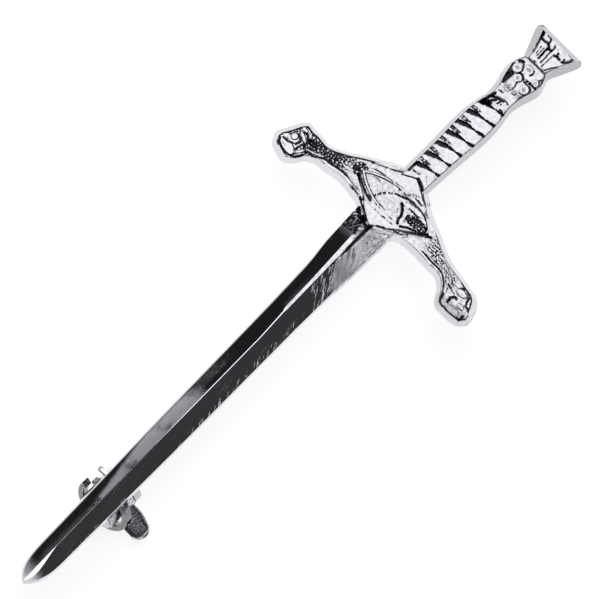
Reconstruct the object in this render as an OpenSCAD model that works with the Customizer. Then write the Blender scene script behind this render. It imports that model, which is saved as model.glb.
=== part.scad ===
/* [Sword] */
// Overall length from the blade's point to the end of the thistle's crown
sword_l = 100; // [90:1:115]
// Distance from the point to the middle of the guard
guard_x = 68.9; // [66:0.1:72]
// Angle by which guard and hilt lean off the line of the blade
hilt_lean = 2.4; // [0:0.1:4]
// How far the middle of the hilt lies beside the middle of the guard
hilt_off = 0.2; // [0:0.05:0.4]

/* [Blade] */
// Width of the blade at the guard
blade_w = 5.9; // [5:0.1:7]
// Height of the blade's side walls
blade_wall_h = 1.2; // [1:0.05:1.5]
// Height of the blade's middle ridge above its flat back
ridge_h = 2.1; // [1.8:0.05:2.6]
// How far the side walls slope in
blade_draft = 0.4; // [0.2:0.05:0.6]
// Length of the rounded point
point_l = 6.5; // [5:0.5:9]
// Width of the ridge's flat top where it meets the guard
ridge_flat_w = 1.3; // [0.6:0.1:2]

/* [Guard] */
// Span of the crossguard from end to end
guard_span = 34.5; // [30:0.1:38]
// How far the middle of the span lies off the middle of the guard
arm_shift = 0.4; // [0:0.05:0.8]
// Width of the guard at the middle, along the sword
guard_w = 10.2; // [9:0.1:11.5]
// How far the arms sweep towards the point
guard_sweep = 3.7; // [2:0.1:4.5]
// Height of the casting's side walls at the hilt
hilt_wall_h = 1.25; // [1:0.05:1.6]
// How far the hilt's side walls slope in
hilt_draft = 0.8; // [0.5:0.05:0.9]
// Width of the raised rim along the arms
rim_w = 0.45; // [0.3:0.05:0.5]
// Height of the raised rims, bars and ribs of the relief
relief_h = 0.4; // [0.25:0.05:0.6]
// Length of the middle diamond across the sword
diamond_l = 13.4; // [11:0.1:14]
// Width of the middle diamond along the sword
diamond_w = 8.8; // [7.5:0.1:9]
// Height of the diamond's top above the flat back
diamond_h = 2.3; // [2.2:0.05:2.5]
// Width of the almond inside the diamond
almond_w = 3.9; // [3:0.1:4.6]

/* [Hilt] */
// Width of the grip at its swell
grip_w = 5.2; // [4.6:0.1:6]
// Height of the grip's crest above the flat back
grip_h = 2.5; // [2.2:0.05:3]
// Number of ribs bound round the grip
rib_n = 8; // [5:1:10]
// Slope of the ribs across the grip
rib_slope = 0.32; // [0:0.02:0.4]
// Width of the thistle's ball
ball_w = 5.7; // [5:0.1:6.4]
// Height of the thistle's ball above the flat back
ball_h = 3.1; // [2.6:0.05:3.6]
// Width of the crown at its open end
crown_w = 7.5; // [6.5:0.1:8.5]
// Height of the crown's ridges above the flat back
crown_h = 2.1; // [1.8:0.05:2.6]
// Radius of the round bosses on the ball
boss_r = 0.8; // [0.6:0.05:0.95]

/* [Pin] */
// Diameter of the pin stem
stem_d = 1.2; // [1:0.05:1.3]
// Distance from the flat back to the stem's middle
stem_drop = 3.4; // [3.2:0.05:4]
// Length of the ground point of the stem
stem_point_l = 5; // [3:0.5:8]
// How far the stem's point stands out past the catch
stem_past = 0.6; // [0.3:0.1:1.5]
// Distance from the point of the sword to the hinge pivot
hinge_x = 71; // [70.5:0.1:71.5]
// Diameter of the pivot across the stem's end
pivot_d = 1.5; // [1.2:0.05:1.8]
// How far the pivot's ends stand out of the ears
pivot_past = 0.3; // [0.1:0.05:0.6]
// Outside width over the hinge's two ears
hinge_w = 7; // [6:0.1:8]
// Thickness of each ear
ear_t = 1.3; // [1:0.05:1.5]
// Length of each ear along the sword
ear_l = 3.4; // [3:0.1:3.6]
// Running clearance between turning faces
run_gap = 0.05; // [0.03:0.01:0.08]
// Clearance beside parts that lie next to each other
side_gap = 0.15; // [0.1:0.05:0.2]

/* [Catch] */
// Distance from the point of the sword to the middle of the lever
catch_x = 16.8; // [16:0.1:20]
// Length of the turning sleeve
sleeve_l = 4.4; // [4:0.1:5]
// Outside diameter of the turning sleeve
sleeve_d = 5.3; // [5.2:0.05:5.4]
// Outside diameter of the tube on which the sleeve turns
tube_d = 3.9; // [3.8:0.05:4.1]
// Bore of that tube, in which the stem lies
tube_bore = 2.7; // [2.6:0.05:2.9]
// Outside diameter of the keeper ring
ring_d = 7.9; // [7.7:0.05:8.2]
// Inside diameter of the keeper ring
ring_bore = 6.15; // [6.1:0.05:6.3]
// Thickness of the keeper ring along the stem
ring_t = 1.1; // [0.9:0.05:1.2]
// Angle by which the keeper ring leans towards the point
ring_lean = 15; // [10:1:16]
// Width of the mouth through which the stem comes out
mouth_w = 1.9; // [1.6:0.05:2.1]
// Angle of the mouth above the sword's plane
mouth_angle = 30; // [20:1:35]
// Reach of the lever from the stem's middle
lever_reach = 6.7; // [6:0.1:9]
// Angle by which the lever hangs below the sword's plane
lever_tilt = 18; // [0:1:25]
// Width of the lever
lever_w = 3.2; // [3:0.1:3.6]
// Thickness of the lever
lever_t = 0.8; // [0.6:0.05:1]
// Width of the finger beside the mouth
finger_w = 0.7; // [0.5:0.05:1]
// Reach of the finger from the middle of the blade
finger_reach = 3.35; // [2.8:0.05:3.8]

/* [Hidden] */
$fn = 48;

// Heights and places that follow from the sizes above
stand_h = stem_drop + ring_d / 2 * cos(ring_lean) + ring_t / 2 * sin(ring_lean);
crown_end_w = crown_w * 0.9;
hilt_end = guard_x + (sword_l - guard_x - crown_end_w / 2 * sin(hilt_lean)) / cos(hilt_lean);
sleeve_x0 = catch_x + lever_w / 2 - sleeve_l;
sleeve_x1 = catch_x + lever_w / 2;
ring_x = catch_x - lever_w * 0.37;
collar_l = 1.2;
lip_l = 0.3;
relief_root = 0.3;
diamond_floor = diamond_h - relief_h;
blade_end = guard_x - diamond_w * 0.38;
tube_x0 = sleeve_x0 - run_gap - lip_l;
tube_x1 = sleeve_x1 + run_gap + collar_l;
knuckle_d = stem_d * 2.6;
foot_t = 0.6;

// Lays a piece drawn along the sword from its point on the surface that it stands on
module place() translate([-sword_l / 2, 0, stand_h]) children();

// Leans what is drawn along the blade about the point at x
module lean(x) translate([x, 0, 0]) rotate([0, 0, -hilt_lean]) translate([-x, 0, 0]) children();

// Value at x on the polyline of a table whose first column is x and whose column c is the value
function look(table, x, c, i = 0) =
    i >= len(table) - 2 || x <= table[i + 1][0]
        ? table[i][c] + (table[i + 1][c] - table[i][c]) * (x - table[i][0]) / (table[i + 1][0] - table[i][0])
        : look(table, x, c, i + 1);

// Closed skin over rows of points, each row a loop of the same number of points
module skin(rows) {
    n = len(rows[0]);
    m = len(rows);
    points = [for (row = rows) each row];
    sides = [
        for (r = [0 : m - 2], i = [0 : n - 1])
            let (a = r * n + i, b = r * n + (i + 1) % n, c = b + n, d = a + n)
                each [[a, b, c], [a, c, d]]
    ];
    first = [for (i = [n - 1 : -1 : 0]) i];
    last = [for (i = [0 : n - 1]) (m - 1) * n + i];
    polyhedron(points, concat([first], sides, [last]));
}

// Blade: how wide it is along its length
// columns: share of the way from the point to the guard, share of blade_w
blade_taper = [
    [0.00, 0.66],
    [0.15, 0.70],
    [0.36, 0.78],
    [0.70, 0.84],
    [0.80, 0.89],
    [0.86, 0.96],
    [0.92, 1.00],
    [1.00, 1.03]
];
blade_stations = concat(
    [for (i = [0 : 7]) point_l * pow(i / 8, 1.6)],
    [for (i = [0 : 12]) point_l + (blade_end - point_l) * i / 12]
);

// Half width: the taper, rounded off to a point by a fourth power
function blade_half(x) =
    let (left = max(0, 1 - x / point_l))
        0.12 + (look(blade_taper, x / guard_x, 1) * blade_w / 2 - 0.12) * (1 - pow(left, 4));

// Row of points across the blade at x: sloping wall, edge, ridge with its flat, edge, wall
function blade_row(x) =
    let (
        b = blade_half(x),
        full = blade_w * 0.33,
        k = min(1, b / full),
        d = blade_draft * k,
        flat = 0.03 + ridge_flat_w / 2 * pow(max(0, x / guard_x - 0.45) / 0.55, 1.5),
        top = blade_wall_h * (0.5 + 0.5 * k),
        crest = top + (ridge_h - blade_wall_h) * k
    )
    [
        [x, -b, 0],
        [x, -b + d * 0.7, top - 0.15 * k],
        [x, -b + d * 1.2, top],
        [x, -flat * k, crest],
        [x, flat * k, crest],
        [x, b - d * 1.2, top],
        [x, b - d * 0.7, top - 0.15 * k],
        [x, b, 0]
    ];

module blade() skin([for (x = blade_stations) blade_row(x)]);

// Guard: its two arms from the middle out, the first towards +Y and the second towards -Y
// columns: share of the arm's length, share of guard_sweep, width as a share of guard_w, lift
arm_tables = [
    [
        [0.000, 0.00, 1.00, 1.0],
        [0.089, -0.04, 0.93, 1.0],
        [0.178, -0.15, 0.78, 1.0],
        [0.297, -0.04, 0.62, 1.0],
        [0.415, 0.10, 0.48, 1.0],
        [0.540, 0.34, 0.38, 1.0],
        [0.659, 0.51, 0.34, 1.0],
        [0.706, 0.60, 0.41, 1.0],
        [0.736, 0.69, 0.50, 1.0],
        [0.795, 0.83, 0.59, 1.0],
        [0.890, 0.82, 0.57, 1.0],
        [0.926, 0.89, 0.48, 1.0],
        [0.973, 1.05, 0.26, 0.8],
        [1.000, 1.05, 0.09, 0.25]
    ],
    [
        [0.000, 0.00, 1.00, 1.0],
        [0.085, -0.03, 0.90, 1.0],
        [0.175, -0.08, 0.65, 1.0],
        [0.277, 0.04, 0.54, 1.0],
        [0.390, 0.13, 0.45, 1.0],
        [0.497, 0.28, 0.37, 1.0],
        [0.627, 0.43, 0.325, 1.0],
        [0.678, 0.58, 0.40, 1.0],
        [0.709, 0.72, 0.48, 1.0],
        [0.825, 0.85, 0.51, 1.0],
        [0.907, 0.89, 0.46, 1.0],
        [0.952, 0.96, 0.36, 1.0],
        [0.985, 1.04, 0.21, 0.7],
        [1.000, 1.10, 0.08, 0.25]
    ]
];
arm_last = len(arm_tables[0]) - 1;
arm_out = [for (i = [arm_last : -1 : 1]) -i, for (i = [0 : arm_last]) i];

// Length of the arm towards +Y or -Y from the middle of the guard
function arm_l(side) = guard_span / 2 - side * arm_shift;

// Row of points across an arm: wall, raised rim, sunk ground, rim, wall
function arm_row(i) =
    let (
        row = arm_tables[i < 0 ? 1 : 0][abs(i)],
        y = sign(i) * row[0] * arm_l(sign(i)),
        mid = guard_x - row[1] * guard_sweep,
        h = row[2] * guard_w / 2,
        k = row[3],
        side = [
            [h, 0],
            [h - hilt_draft * k, hilt_wall_h * k],
            [h - (hilt_draft + rim_w * 0.3) * k, (hilt_wall_h + relief_h * 0.7) * k],
            [h - (hilt_draft + rim_w * 0.7) * k, (hilt_wall_h + relief_h * 0.7) * k],
            [h - (hilt_draft + rim_w) * k, (hilt_wall_h + 0.05) * k]
        ]
    )
    concat(
        [for (p = side) [mid + p[0], y, p[1]]],
        [[mid, y, (hilt_wall_h + 0.2) * k]],
        [for (j = [4 : -1 : 0]) [mid - side[j][0], y, side[j][1]]]
    );

module guard_body() lean(guard_x) skin([for (i = arm_out) arm_row(i)]);

// Pointed oval made where two round discs cross
module almond(long, wide) {
    r = (long * long / 4 + wide * wide / 4) / wide;
    intersection() {
        translate([r - wide / 2, 0]) circle(r);
        translate([wide / 2 - r, 0]) circle(r);
    }
}

// Diamond with its long way across the sword
module diamond(long, wide)
    polygon([[wide / 2, 0], [0, long / 2], [-wide / 2, 0], [0, -long / 2]]);

// Curved bar: part of a round band that stays inside the almond
module swirl_bar(r, wide, x, y)
    intersection() {
        almond(diamond_l * 0.84, almond_w);
        translate([x, y]) difference() {
            circle(r + wide / 2);
            circle(r - wide / 2);
        }
    }

// Relief of the guard's middle: diamond rim, almond rim, two curved bars and the ground between
module guard_relief() {
    rim = rim_w * 1.25;
    almond_l = diamond_l * 0.86;
    bar_r = almond_w * 0.9;
    bar_off = [almond_w * 0.75, almond_w * 0.2];
    lean(guard_x) translate([guard_x, 0, hilt_wall_h - relief_root])
        linear_extrude(diamond_floor - hilt_wall_h + relief_root, scale = 0.94) diamond(diamond_l, diamond_w);
    lean(guard_x) translate([guard_x, 0, diamond_floor - relief_root]) {
        linear_extrude(relief_root + relief_h) difference() {
            diamond(diamond_l * 0.94, diamond_w * 0.94);
            diamond(diamond_l * 0.94 - 3.6 * rim, diamond_w * 0.94 - 2.4 * rim);
        }
        linear_extrude(relief_root + relief_h * 1.2) difference() {
            almond(almond_l, almond_w);
            almond(almond_l - 4.4 * rim, almond_w - 1.8 * rim);
        }
        linear_extrude(relief_root + relief_h)
            for (side = [-1, 1]) swirl_bar(bar_r, rim, side * bar_off[0], side * bar_off[1]);
        linear_extrude(relief_root + relief_h * 0.6) difference() {
            diamond(diamond_l * 0.62, diamond_w * 0.72);
            almond(almond_l - rim / 3, almond_w - rim / 3);
        }
    }
}

// Knobs of an arm's end: three lobes and the bar across its neck
module knob(side) {
    tip = arm_l(side);
    x0 = guard_x - guard_sweep * 0.86;
    lobe = guard_w * 0.125;
    lean(guard_x) intersection() {
        for (p = [[-0.13, 0.80], [0.12, 0.80], [-0.04, 0.905]])
            translate([x0 + p[0] * guard_w, side * p[1] * tip, hilt_wall_h + relief_h * 1.4 - lobe])
                sphere(lobe);
        translate([x0 - guard_w / 2, side * tip - guard_w / 2, hilt_wall_h * 0.4]) cube(guard_w);
    }
    lean(guard_x) translate([x0 + guard_w * 0.17, side * 0.705 * tip, hilt_wall_h - 0.1])
        rotate([0, -90, side * 12]) cylinder(h = guard_w * 0.24, r = relief_h * 1.1);
}

// Hilt: half outline and crest of grip, ball and crown
// columns: share of the way from the guard's middle to the end, half width, crest
hilt_table = [
    [0.10, grip_w * 0.436, grip_h * 0.96],
    [0.20, grip_w * 0.444, grip_h * 0.96],
    [0.33, grip_w * 0.467, grip_h * 0.98],
    [0.44, grip_w * 0.50, grip_h],
    [0.505, grip_w * 0.496, grip_h],
    [0.57, grip_w * 0.452, grip_h * 0.97],
    [0.635, ball_w * 0.356, grip_h * 0.90],
    [0.665, ball_w * 0.372, ball_h * 0.80],
    [0.700, ball_w * 0.415, ball_h * 0.93],
    [0.735, ball_w * 0.472, ball_h],
    [0.765, ball_w * 0.50, ball_h],
    [0.790, ball_w * 0.484, ball_h * 0.95],
    [0.815, ball_w * 0.438, ball_h * 0.80],
    [0.842, ball_w * 0.39, crown_h * 0.88],
    [0.865, crown_w * 0.323, crown_h * 0.96],
    [0.894, crown_w * 0.373, crown_h],
    [0.933, crown_w * 0.44, crown_h],
    [0.970, crown_w * 0.50, crown_h * 0.98],
    [0.988, crown_w * 0.496, crown_h * 0.88],
    [1.000, crown_end_w / 2, crown_h * 0.66]
];
grip_from = 0.145;
grip_to = 0.63;
rib_shares = [for (r = [0 : rib_n - 1], f = [0, 0.2, 0.5, 0.8]) (r + f) / rib_n];
hilt_stations = concat(
    [0.10],
    [for (s = rib_shares) grip_from + (grip_to - grip_from) * s],
    [for (row = hilt_table) if (row[0] > grip_to) row[0]]
);
hilt_cols = 16;

// Height of a rib at share s of the way: up over the middle of each turn, down between turns
function rib(s) =
    let (turn = (s - grip_from) / (grip_to - grip_from) * rib_n)
        s < grip_from - 0.01 || s > grip_to - 0.001 ? 0 : (1 - cos(360 * turn)) / 2 - 0.5;

// Row of points across the hilt: wall, rounded face with its ribs or ridges, wall
function hilt_row(s) =
    let (
        x = guard_x + s * (hilt_end - guard_x),
        b = look(hilt_table, s, 1),
        crest = look(hilt_table, s, 2),
        d = hilt_draft * (s > 0.99 ? 0.75 : 1),
        wall = hilt_wall_h * (s > 0.99 ? 0.7 : 1),
        inner = b - d,
        shear = rib_slope * min(1, max(0, (0.66 - s) / 0.06)),
        fan = s > 0.84 ? 1 : 0
    )
    concat(
        [[x + shear * b, -b, 0]],
        [
            for (i = [0 : hilt_cols])
                let (
                    t = 2 * i / hilt_cols - 1,
                    round = sqrt(max(0, 1 - t * t)),
                    ridge = fan * relief_h * 0.5 * cos(720 * t) * (1 - pow(t, 6)),
                    turn = rib(s) * relief_h * 1.5 * (1 - pow(t, 4))
                )
                    [x - shear * t * inner, t * inner, wall + (crest - wall) * round + ridge + turn]
        ],
        [[x - shear * b, b, 0]]
    );

// Height of the hilt's rounded face at share s of the way and y to the side, without relief
function face_height(s, y) =
    let (inner = look(hilt_table, s, 1) - hilt_draft, crest = look(hilt_table, s, 2))
        hilt_wall_h + (crest - hilt_wall_h) * sqrt(max(0, 1 - pow(y / inner, 2)));

// Round boss of radius r that stands relief_h proud of the hilt's face
module boss(s, y, r)
    translate([guard_x + s * (hilt_end - guard_x), y, face_height(s, y) + relief_h * 0.8 - r]) sphere(r);

// Round bosses on the thistle's ball, in rows of two, three and two, and beads on the crown
module bosses() {
    pitch = boss_r * 2.1;
    row_step = pitch * 0.87 / (hilt_end - guard_x);
    for (row = [-1 : 1])
        let (count = 3 - abs(row))
            for (j = [0 : count - 1])
                boss(0.752 + row * row_step, (j - (count - 1) / 2) * pitch, boss_r);
    for (j = [-1 : 1]) boss(0.955, j * crown_w * 0.19, boss_r * 0.6);
}

module hilt()
    lean(guard_x) translate([0, hilt_off, 0]) {
        skin([for (s = hilt_stations) hilt_row(s)]);
        bosses();
    }

// Slot that runs out from the stem's middle at the mouth's angle
module mouth_slot(x0, x1, reach)
    translate([x0, 0, -stem_drop]) rotate([mouth_angle, 0, 0])
        translate([0, 0, -mouth_w / 2]) cube([x1 - x0, reach, mouth_w]);

// Round bar along the sword on the stem's axis
module along(x0, x1, d)
    translate([x0, 0, -stem_drop]) rotate([0, 90, 0]) cylinder(h = x1 - x0, d = d);

// Keeper ring that leans towards the point, open at the mouth
module keeper_ring()
    difference() {
        translate([ring_x, 0, -stem_drop]) rotate([0, 90 + ring_lean, 0])
            translate([0, 0, -ring_t / 2]) difference() {
                cylinder(h = ring_t, d = ring_d);
                translate([0, 0, -1]) cylinder(h = ring_t + 2, d = ring_bore);
            }
        mouth_slot(ring_x - ring_d / 2, ring_x + ring_d / 2, ring_d);
        translate([ring_x - ring_d / 2, -ring_d / 2, blade_wall_h * 0.5])
            cube([ring_d, ring_d, ring_d]);
    }

// Tube on which the sleeve turns, with its end lip, collar and post
module catch_tube()
    difference() {
        union() {
            along(tube_x0, tube_x1, tube_d);
            along(tube_x0, tube_x0 + lip_l, sleeve_d - 0.5);
            along(tube_x1 - collar_l, tube_x1, sleeve_d);
            translate([tube_x1 - collar_l, -tube_d / 3, -stem_drop])
                cube([collar_l, tube_d * 2 / 3, stem_drop + blade_wall_h * 0.5]);
        }
        along(tube_x0 - 1, tube_x1 + 1, tube_bore);
        mouth_slot(tube_x0 - 1, tube_x1 + 1, sleeve_d);
    }

// Plate soldered to the back under the catch, with the finger beside the mouth
module catch_foot() {
    foot_x = sleeve_x1 - finger_w * 1.4;
    drop = stem_drop - sleeve_d / 2 - side_gap;
    translate([foot_x, -tube_d / 3, -drop])
        cube([tube_x1 - foot_x, tube_d * 2 / 3, drop + blade_wall_h * 0.4]);
    translate([foot_x, 0, -drop]) cube([finger_w, finger_reach, drop]);
}

// Ears of the hinge on their foot plate, bored for the pivot
module hinge_ears()
    difference() {
        union() {
            translate([hinge_x - ear_l * 0.65, -hinge_w / 2, -foot_t])
                cube([ear_l * 1.3, hinge_w, foot_t + hilt_wall_h * 0.4]);
            for (y = [-hinge_w / 2, hinge_w / 2 - ear_t])
                translate([hinge_x - ear_l / 2, y, -stand_h]) cube([ear_l, ear_t, stand_h]);
        }
        translate([hinge_x, -hinge_w, -stem_drop]) rotate([-90, 0, 0])
            cylinder(h = 2 * hinge_w, d = pivot_d + 2 * run_gap);
    }

// Cast sword with its soldered catch and hinge
module sword()
    color("gainsboro") place() {
        blade();
        guard_body();
        guard_relief();
        knob(1);
        knob(-1);
        hilt();
        keeper_ring();
        catch_tube();
        catch_foot();
        hinge_ears();
    }

// Pin stem with its ground point, and its knuckle and pivot between the ears
module pin_stem()
    color("silver") place() {
        along(tube_x0 - stem_past + stem_point_l, hinge_x, stem_d);
        translate([tube_x0 - stem_past, 0, -stem_drop]) rotate([0, 90, 0])
            cylinder(h = stem_point_l, d1 = stem_d / 6, d2 = stem_d);
        translate([hinge_x, 0, -stem_drop]) rotate([90, 0, 0]) {
            cylinder(h = hinge_w - 2 * ear_t - 2 * side_gap, d = knuckle_d, center = true);
            cylinder(h = hinge_w + 2 * pivot_past, d = pivot_d, center = true);
        }
    }

// Outline of the lever: narrow past the ring, wide beyond it, with a round end
module lever_outline() {
    end_r = lever_w * 0.36;
    root_x = ring_x + ring_t / 2 + side_gap * 1.5;
    out = ring_d / 2 + side_gap;
    polygon([
        [root_x, -tube_d / 2 - run_gap - 0.2],
        [sleeve_x1, -tube_d / 2 - run_gap - 0.2],
        [sleeve_x1, -out],
        [catch_x + end_r, -lever_reach + end_r],
        [catch_x - end_r, -lever_reach + end_r],
        [sleeve_x1 - lever_w, -out],
        [root_x, -out]
    ]);
    translate([catch_x, -lever_reach + end_r]) circle(end_r);
}

// Turning sleeve of the catch with its lever, slotted for the stem
module catch_roller()
    color("silver") place() {
        difference() {
            union() {
                along(sleeve_x0, sleeve_x1, sleeve_d);
                translate([0, 0, -stem_drop]) rotate([lever_tilt, 0, 0])
                    translate([0, 0, -lever_t / 2]) linear_extrude(lever_t) lever_outline();
            }
            along(sleeve_x0 - 1, sleeve_x1 + 1, tube_d + 2 * run_gap);
            mouth_slot(sleeve_x0 - 1, sleeve_x1 + 1, sleeve_d);
        }
    }

sword();
pin_stem();
catch_roller();
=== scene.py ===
import math

import bpy
import numpy as np
from mathutils import Matrix, Vector


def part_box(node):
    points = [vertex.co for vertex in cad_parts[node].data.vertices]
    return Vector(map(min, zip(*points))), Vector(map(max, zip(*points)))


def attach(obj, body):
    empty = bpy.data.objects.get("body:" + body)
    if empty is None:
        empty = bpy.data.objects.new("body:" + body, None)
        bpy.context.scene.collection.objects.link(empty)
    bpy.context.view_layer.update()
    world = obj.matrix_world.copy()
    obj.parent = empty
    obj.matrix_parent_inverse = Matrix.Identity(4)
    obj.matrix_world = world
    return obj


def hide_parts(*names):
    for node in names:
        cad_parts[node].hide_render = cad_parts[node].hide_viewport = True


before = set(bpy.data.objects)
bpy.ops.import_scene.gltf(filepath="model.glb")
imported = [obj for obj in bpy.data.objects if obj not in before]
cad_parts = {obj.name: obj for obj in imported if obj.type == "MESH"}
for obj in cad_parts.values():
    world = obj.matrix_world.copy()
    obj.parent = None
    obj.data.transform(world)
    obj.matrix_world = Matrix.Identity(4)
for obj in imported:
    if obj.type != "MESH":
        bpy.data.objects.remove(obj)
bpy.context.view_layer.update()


# Blade. The long part of the zinc casting: a flat back, upright side walls with a thin bevel, and two
# hollow faces that meet in a ridge. It was ground along its length and then plated bright.
# All shapes are drawn in millimetres: u from the point along the sword, v across it, w out of its face.
MM = 0.001
stem_lo, stem_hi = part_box("pin_stem")
sword_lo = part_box("sword")[0]
STEM_DROP = 3.4
point_x = sword_lo[0]
stem_z = (stem_lo[2] + stem_hi[2]) / 2
back_z = stem_z + STEM_DROP * MM
GUARD_U = 68.9


def placed(u, v, w):
    """Drawn millimetres to the frame's metres: u from the blade's point, w up from the flat back."""
    u, v, w = np.broadcast_arrays(u, v, w)
    return np.stack([point_x + u * MM, v * MM, back_z + w * MM], axis=-1)


def ease(x, start, end):
    """Smooth step: 0 before start, 1 after end, and 3t^2 - 2t^3 between them."""
    t = np.clip((x - start) / (end - start), 0, 1)
    return t * t * (3 - 2 * t)


def curve(x, stations, values):
    """Smooth line through the values: a cubic between each two stations, with the mean slope at each."""
    s = np.asarray(stations, float)
    y = np.asarray(values, float)
    slope = np.gradient(y, s)
    i = np.clip(np.searchsorted(s, x, side="right") - 1, 0, len(s) - 2)
    step = s[i + 1] - s[i]
    t = np.clip((x - s[i]) / step, 0, 1)
    rise = (2 * t**3 - 3 * t**2 + 1) * y[i] + (3 * t**2 - 2 * t**3) * y[i + 1]
    return rise + step * ((t**3 - 2 * t**2 + t) * slope[i] + (t**3 - t**2) * slope[i + 1])


def column(x, rows, c=1, line=np.interp):
    """Column c of a table, read at x along its first column, by straight or smooth lines between rows."""
    return line(x, [row[0] for row in rows], [row[c] for row in rows])


def scatter(i, j, seed):
    """Number from 0 to 1 for each cell: the fraction of a large sine of its two indices."""
    return np.abs(np.sin(i * 127.1 + j * 311.7 + seed * 74.7) * 43758.5453) % 1


def pebbles(p, q, pitch, seed):
    """Cobbles: nearly 1 inside each cell round the points of a shaken net, 0 on the lines between cells."""
    p, q = p / pitch, q / pitch
    near = np.full(p.shape, 9.0)
    second = near.copy()
    for di in (-1, 0, 1):
        for dj in (-1, 0, 1):
            i, j = np.floor(p) + di, np.floor(q) + dj
            far = np.hypot(i + scatter(i, j, seed) - p, j + scatter(i, j, seed + 1) - q)
            second = np.minimum(second, np.maximum(near, far))
            near = np.minimum(near, far)
    return np.clip(1.6 * (second - near), 0, 1)


def piece_gap(u, v, start, end):
    """Distance to a straight piece: to its nearest point, at a share of its length clipped to 0 and 1."""
    step_u, step_v = end[0] - start[0], end[1] - start[1]
    length2 = np.maximum(step_u**2 + step_v**2, 1e-9)
    t = np.clip(((u - start[0]) * step_u + (v - start[1]) * step_v) / length2, 0, 1)
    return np.hypot(u - start[0] - t * step_u, v - start[1] - t * step_v)


def near_path(u, v, path, half):
    """1 on a line through the path's points and 0 from half its width away: a smooth fall between."""
    gap = np.min([piece_gap(u, v, start, end) for start, end in zip(path[:-1], path[1:])], axis=0)
    return 1 - ease(gap, half * 0.25, half)


def carved(u, v, height, dark, cuts, speckle):
    """Engraves lines: each lowers the height and blackens it along its path, less where it is broken."""
    for path, half, deep, black, broken in cuts:
        line = near_path(u, v, path, half * 1.3) * (1 - broken * ease(speckle, 0.45, 0.7))
        height = height - deep * line
        dark = np.maximum(dark, black * line)
    return height, dark


def dome(u, v, at, radii, turn=0):
    """Round bump: the square root of one less the squared distance from its middle, in turned radii."""
    c, s = math.cos(math.radians(turn)), math.sin(math.radians(turn))
    du, dv = u - at[0], v - at[1]
    across, along = (du * c - dv * s) / radii[0], (du * s + dv * c) / radii[1]
    return np.sqrt(np.clip(1 - across**2 - along**2, 0, 1))


def shell(name, rows, patina_and_shade=0.0):
    """Closed skin: quads between each two loops of points, and a flat face on the first and last loop."""
    index = np.arange(rows.shape[0] * rows.shape[1]).reshape(rows.shape[:2])
    after = np.roll(index, -1, axis=1)
    quads = np.stack([index[:-1], after[:-1], after[1:], index[1:]], axis=-1).reshape(-1, 4)
    points = rows.reshape(-1, 3)
    middle = points.mean(axis=0)
    a, b, c, d = (points[quads[:, k]] - middle for k in range(4))
    volume = np.einsum("ij,ij->", a, np.cross(b, c)) + np.einsum("ij,ij->", a, np.cross(c, d))
    turn = -1 if volume < 0 else 1
    faces = [index[0, ::-turn].tolist(), *quads[:, ::turn].tolist(), index[-1, ::turn].tolist()]
    mesh = bpy.data.meshes.new(name)
    mesh.from_pydata(points.tolist(), [], faces)
    # Per-point tone that the colour turns towards black: patina in cuts, pits and grooves, and painted shade
    # on the hilt's walls and end and beside its ribs
    layer = mesh.attributes.new("patina_and_shade", "FLOAT", "POINT")
    layer.data.foreach_set("value", np.broadcast_to(patina_and_shade, rows.shape[:2]).reshape(-1).astype(float))
    piece = bpy.data.objects.new(name, mesh)
    bpy.context.scene.collection.objects.link(piece)
    return piece


BLADE_HALF = 2.95
BLADE_END = 65.6
POINT_L = 6.5
POINT_HALF = 0.12
WALL_H = 1.2
RIDGE_RISE = 0.9
# columns: share of the way to the guard, part of the blade's half width
taper_rows = [(0.00, 0.66), (0.15, 0.70), (0.36, 0.78), (0.70, 0.84), (0.80, 0.89), (0.86, 0.96),
              (0.92, 1.00), (1.00, 1.03)]


def blade_half(u):
    """Half width: the taper, rounded off to the point by a fourth power."""
    left = np.clip(1 - u / POINT_L, 0, 1)
    return POINT_HALF + (column(u / GUARD_U, taper_rows) * BLADE_HALF - POINT_HALF) * (1 - left**4)


point_u = POINT_L * np.linspace(0, 1, 36) ** 1.6
u = np.concatenate([point_u, np.linspace(POINT_L, BLADE_END, 270)[1:]])[:, None]
half = blade_half(u)
# Small sizes across the blade shrink with it where the point is slim
slim = np.minimum(1, half / (0.66 * BLADE_HALF))
wall = WALL_H * (0.88 + 0.12 * ease(u, 0, 3))
crest = wall + RIDGE_RISE * (0.62 + 0.38 * ease(u, 0, 5))

# The ridge is a sharp line from the point on, then a narrow flat that widens in one step
# columns: place along the blade, the ridge's place across it, half width of the flat
ridge_rows = [(0, 0.0, 0.002), (24, 0.0, 0.002), (30, 0.0, 0.03), (44, 0.0, 0.035), (48.3, 0.17, 0.05),
              (49.0, 0.23, 0.18), (54, 0.28, 0.20), (58, 0.36, 0.26), (62, 0.50, 0.27), (66, 0.55, 0.27)]
ridge_v, flat = (column(u, ridge_rows, c) for c in (1, 2))
point_flat = 0.6 * half * np.clip(1 - u / 6.0, 0, 1) ** 1.25
fillet = ease(u, 57, 61.5)

# One side's points from the back's corner to the ridge: wall, bevel, hollow face, edge of the flat
face_t = np.linspace(0.04, 0.97, 22)[None, :]


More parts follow.
